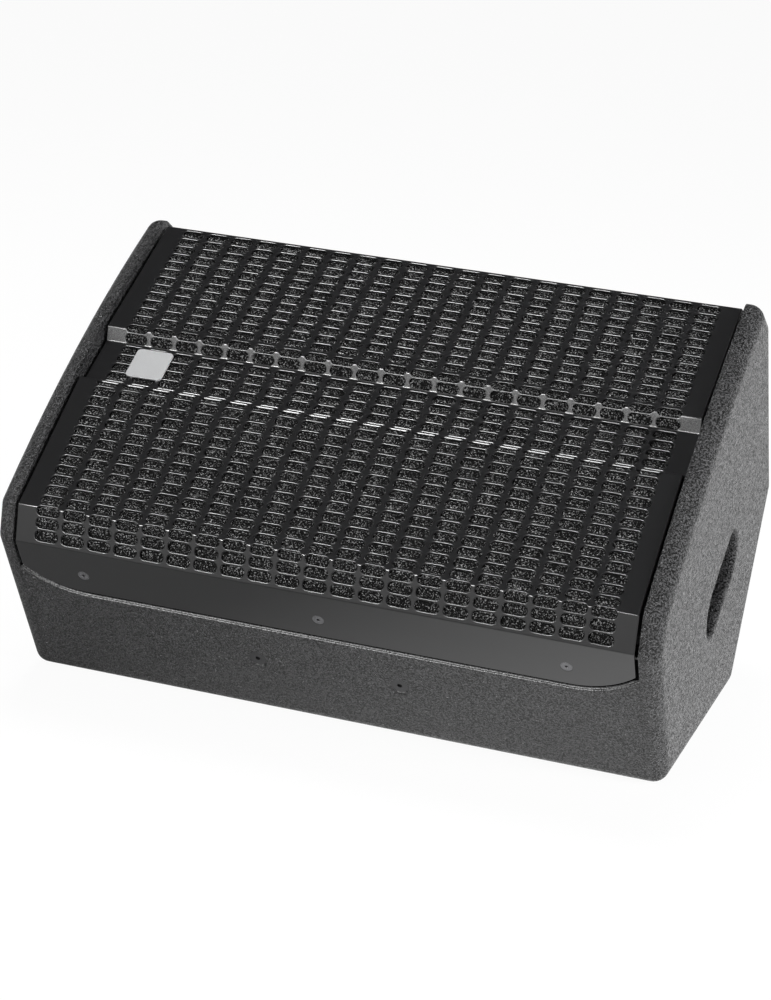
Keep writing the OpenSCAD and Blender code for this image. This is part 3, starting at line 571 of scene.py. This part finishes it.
n = len(loop)
stations = math.ceil((x_high - x_low) / fine_cut)
xs = [x_low + (x_high - x_low) * i / stations for i in range(stations + 1)]
faces = [(i * n + j, i * n + (j + 1) % n, (i + 1) * n + (j + 1) % n, (i + 1) * n + j)
         for i in range(stations) for j in range(n)]
faces += [tuple(reversed(range(n))), tuple(range(stations * n, stations * n + n))]
mesh = bpy.data.meshes.new("foam_sheet")
mesh.from_pydata(swept_points(loop, xs), [], faces)
bm = bmesh.new()
bm.from_mesh(mesh)
bmesh.ops.recalc_face_normals(bm, faces=bm.faces)
bm.to_mesh(mesh)
bm.free()
mesh.polygons.foreach_set("use_smooth", [True] * len(mesh.polygons))
foam_sheet = shown_piece("foam_sheet", mesh, finishes["acoustic_foam"])
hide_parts("foam")
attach(foam_sheet, frame["nodes"]["foam"]["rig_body"])
print("foam sheet of", len(faces), "faces")

# %% [markdown]
# The amplifier's panel has its own frame: x along it, y up the slant, z into the cabinet. The
# knob's axis points along z, and the rocker's pivot is a point known in both frames. The places of
# the controls are given in it, in metres, and the shapes on them in millimetres.

# %% The amplifier panel's frame
into = Vector(joints["level_turn"]["axis"]).normalized()
slant = into.cross(Vector((1, 0, 0)))
rocker = Vector((0.082, 0.036, 0.0012))
knob = Vector((-0.047, 0.030, 0))
inlet = Vector((0.126, 0.036, 0))
link = Vector((-0.084, 0.030, 0))
turn_of_panel = Matrix((Vector((1, 0, 0)), slant, into)).transposed()
panel_start = Vector(joints["power_rock"]["pos_m"]) - turn_of_panel @ rocker
panel = Matrix.Translation(panel_start) @ turn_of_panel.to_4x4()

def at(place, *turns):
    """A frame at a place on the panel, turned by each of the (degrees, axis) pairs."""
    result = panel @ Matrix.Translation(place)
    for degrees, axis in turns:
        result = result @ Matrix.Rotation(math.radians(degrees), 4, axis)
    return result

print("the panel starts at", [round(v, 4) for v in panel_start])

# %% [markdown]
# The amplifier's controls need their marks and contacts. A mark is printed, so it is a prism a tenth
# of a millimetre high, and a contact is a thin metal skin over a pin of the CAD. Both are prisms: an
# outline, and how far it reaches along z. One function makes a whole piece from many of them.

# %% Prisms
def rectangle(x0, x1, y0, y1):
    return [(x0, y0), (x1, y0), (x1, y1), (x0, y1)]

def circle(x, y, radius, sides=16):
    turns = [2 * math.pi * i / sides for i in range(sides)]
    return [(x + radius * math.cos(a), y + radius * math.sin(a)) for a in turns]

def prisms(name, shapes, finish, body):
    """One piece of many prisms; a shape is a frame, an outline, and its low and high z, in millimetres."""
    bm = bmesh.new()
    for place, outline, low, high in shapes:
        rings = []
        for z in (low, high):
            rings.append([bm.verts.new(place @ Vector((x / 1000, y / 1000, z / 1000))) for x, y in outline])
            bm.faces.new(rings[-1])
        for i in range(len(outline)):
            j = (i + 1) % len(outline)
            bm.faces.new((rings[0][i], rings[0][j], rings[1][j], rings[1][i]))
    bmesh.ops.recalc_face_normals(bm, faces=bm.faces)
    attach(shown_piece(name, mesh_from(bm, name), finish), body)
    print(name, "of", len(shapes), "prisms on", body)

ink = grained("mark_ink", (0.60, 0.60, 0.58), (0.72, 0.72, 0.70), 0.6, 0.0004, 0.00001)
nickel = grained("nickel", (0.48, 0.47, 0.44), (0.60, 0.59, 0.56), 0.25, 0.0005, 0.00001, metal=1.0)
ink_low, ink_high = -0.1, 0.05

# %% [markdown]
# The dial has eleven ticks over the knob's whole turn, with longer ones at its ends and its middle.
# The knob has a line along its raised pointer. The line rides on the knob, so it turns over the ticks.

# %% Dial and knob
first, last = joints["level_turn"]["range_deg"]
steps_on_dial = 10
tick_start, short_tick, long_tick = 9.8, 11.6, 12.6
half_tick = 0.3
ticks = []
for i in range(steps_on_dial + 1):
    reach = long_tick if i % (steps_on_dial // 2) == 0 else short_tick
    tick = rectangle(-half_tick, half_tick, tick_start, reach)
    angle = first + (last - first) * i / steps_on_dial
    ticks.append((at(knob, (angle, "Z")), tick, ink_low, ink_high))
prisms("dial_marks", ticks, ink, "cabinet")

knob_top = knob + Vector((0, 0, -0.011))
pointer_low, pointer_high = -0.6, -0.45
half_line = 0.35
line = rectangle(-half_line, half_line, 1.3, 6.5)
prisms("knob_line", [(at(knob_top), line, pointer_low, pointer_high)], ink, "level_knob")

# %% [markdown]
# The rocker is a shallow dish that leans by eight degrees at rest, with its upper half pressed in:
# off. A ring on that half stands for off and a bar on the other for on, each flat on its own slope.

# %% Marks on the rocker
rocker_lean = 8
dish_depth, half_rocker = 1.4, 7.6
dish = math.atan2(dish_depth, half_rocker)
dish_middle = at(rocker, (rocker_lean, "X")) @ Matrix.Translation((0, 0, -0.0032))
off_half = dish_middle @ Matrix.Rotation(-dish, 4, "X")
on_half = dish_middle @ Matrix.Rotation(dish, 4, "X")
ring_at = 4.0
outer, inner = circle(0, ring_at, 2.1), circle(0, ring_at, 1.4)
marks = []
for i in range(len(outer)):
    j = (i + 1) % len(outer)
    marks.append((off_half, [outer[i], outer[j], inner[j], inner[i]], ink_low, ink_high))
marks.append((on_half, rectangle(-half_line, half_line, -6.0, -2.0), ink_low, ink_high))
prisms("rocker_marks", marks, ink, "power_rocker")

# %% [markdown]
# The mains inlet has three flat blades, the middle one set higher, and the link socket has three
# round pins. In the CAD they are one piece with the black plastic. A skin of bright nickel, three
# hundredths of a millimetre thick, covers each.

# %% Contacts
skin = 0.03
half_thick, half_wide, blade_end = 1 + skin, 2 + skin, 15.9
pin_ring, pin_radius, pin_start, pin_end = 4, 1.2, 2, 14.9
blades = []
for x, y in ((-7, 0), (0, 3), (7, 0)):
    blade = rectangle(x - half_thick, x + half_thick, y - half_wide, y + half_wide)
    blades.append((at(inlet), blade, -skin, blade_end))
prisms("inlet_blades", blades, nickel, "cabinet")
pins = []
for degrees in (90, 210, 330):
    a = math.radians(degrees)
    pin = circle(pin_ring * math.cos(a), pin_ring * math.sin(a), pin_radius + skin)
    pins.append((at(link), pin, pin_start - skin, pin_end))
prisms("link_pins", pins, nickel, "cabinet")

# %% [markdown]
# The floor is a wide pale sheet. A plain white one would be grey in the lamps' shade, so the camera
# sees it as nearly white by itself, and the rest of its light is plain white paint that still takes
# a faint shadow. What the shiny pieces mirror of it is dimmer in front on the left and brighter on
# the right and behind, which gives the lip and the front wall their slope from dark to pale.

# %% Floor
dim_until, bright_from = -0.30, -0.08
dimmest, brightest = 0.35, 1.25

def floor_paper(shadow_left=0.05):
    mat, nodes, links, shader, where = new_finish("floor_paper")
    shader.inputs["Base Color"].default_value = (*grey(0.9), 1)
    shader.inputs["Roughness"].default_value = 0.9
    path = nodes.new("ShaderNodeLightPath")
    to_camera, to_gloss = path.outputs["Is Camera Ray"], path.outputs["Is Glossy Ray"]
    rightwards = nodes.new("ShaderNodeVectorMath")
    rightwards.operation = "DOT_PRODUCT"
    rightwards.inputs[1].default_value = (0.6, 1.0, 0.0)
    links.new(where, rightwards.inputs[0])
    mirrored = spread(nodes, links, rightwards.outputs["Value"], dim_until, bright_from, dimmest, brightest)
    glow = nodes.new("ShaderNodeEmission")
    links.new(blend_colors(nodes, links, to_camera, mirrored, grey(1)), glow.inputs["Color"])
    camera_share = math_node(nodes, links, "MULTIPLY", to_camera, 1 - shadow_left)
    seen = math_node(nodes, links, "MAXIMUM", camera_share, to_gloss)
    both = nodes.new("ShaderNodeMixShader")
    links.new(seen, both.inputs[0])
    links.new(shader.outputs[0], both.inputs[1])
    links.new(glow.outputs[0], both.inputs[2])
    out = [node for node in nodes if node.type == "OUTPUT_MATERIAL"][0]
    links.new(both.outputs[0], out.inputs["Surface"])
    return mat

bpy.ops.mesh.primitive_plane_add(size=40, location=(0, 0, 0))
floor = bpy.context.object
floor.name = "floor"
floor.data.materials.append(floor_paper())
print("the floor lies at z =", floor.location.z)

# %% [markdown]
# The room is pale round the sides and dark overhead, as a studio is under its ceiling. The camera
# itself sees plain white.

# %% Room
pale_below, dark_above = 0.1, 0.35
world = bpy.data.worlds.new("studio")
bpy.context.scene.world = world
world.use_nodes = True
nodes, links = world.node_tree.nodes, world.node_tree.links
sky = nodes["Background"]
coord = nodes.new("ShaderNodeTexCoord")
split = nodes.new("ShaderNodeSeparateXYZ")
links.new(coord.outputs["Generated"], split.inputs[0])
height = spread(nodes, links, split.outputs["Z"], pale_below, dark_above)
room = blend_colors(nodes, links, height, grey(0.6), grey(0.04))
path = nodes.new("ShaderNodeLightPath")
links.new(blend_colors(nodes, links, path.outputs["Is Camera Ray"], room, grey(1)), sky.inputs["Color"])
sky.inputs["Strength"].default_value = 1.0
print("the room turns dark between", pale_below, "and", dark_above, "of the way up")

# %% [markdown]
# Four lamps share the work. Three only light a surface plainly and one only shines on it, because a
# black satin sheet shows the shape of every lamp that it mirrors. The one that shines stands in front
# and makes the rims of the slots and the folds gleam. A weak one beside it, one overhead and one on
# the right give the plain light, and the right one makes the end plate the palest side.

# %% Lamps
def area(name, where, to, size, power, plain_light=True):
    """A rectangular lamp aimed at a point; it gives plain light only, or shine only."""
    data = bpy.data.lights.new(name, "AREA")
    data.shape = "RECTANGLE"
    data.size, data.size_y = size
    data.energy = power
    lamp = bpy.data.objects.new(name, data)
    bpy.context.scene.collection.objects.link(lamp)
    lamp.location = where
    lamp.rotation_euler = (Vector(to) - Vector(where)).to_track_quat("-Z", "Y").to_euler()
    lamp.visible_glossy = not plain_light
    lamp.visible_diffuse = plain_light

middle = (0, 0, 0.2)
area("top_light", (-0.3, 0.5, 2.6), (0, 0, 0.1), (1.2, 1.2), 70)
area("front_sheen", (-0.9, -2.6, 1.5), middle, (1.2, 0.9), 210, plain_light=False)
area("front_fill", (-0.5, -2.6, 1.4), middle, (1.0, 1.0), 14)
area("right_light", (2.6, -0.5, 0.9), (0.3, 0, 0.15), (0.8, 0.8), 104)
print("lamps:", ", ".join(lamp.name for lamp in bpy.data.lights))

# %% [markdown]
# The camera stands in front, to the right and above, with a long lens. It is given by the three
# directions of its own axes and its place.

# %% Camera
scene = bpy.context.scene
lens = bpy.data.cameras.new("camera")
camera = bpy.data.objects.new("camera", lens)
scene.collection.objects.link(camera)
right = (0.9421, 0.3277, 0.0709)
up = (-0.1624, 0.2609, 0.9516)
back = (0.2933, -0.9081, 0.2990)
place = (0.6956, -2.200337, 0.8942)
axes = Matrix((right, up, back)).transposed().to_4x4()
camera.matrix_world = Matrix.Translation(place) @ axes
lens.sensor_width = 36
lens.sensor_fit = "AUTO"
lens.lens = 94.76
lens.clip_end = 100
scene.camera = camera
scene.view_settings.view_transform = "Standard"
print("the camera stands", round(camera.location.length, 2), "m off, with a lens of", lens.lens, "mm")
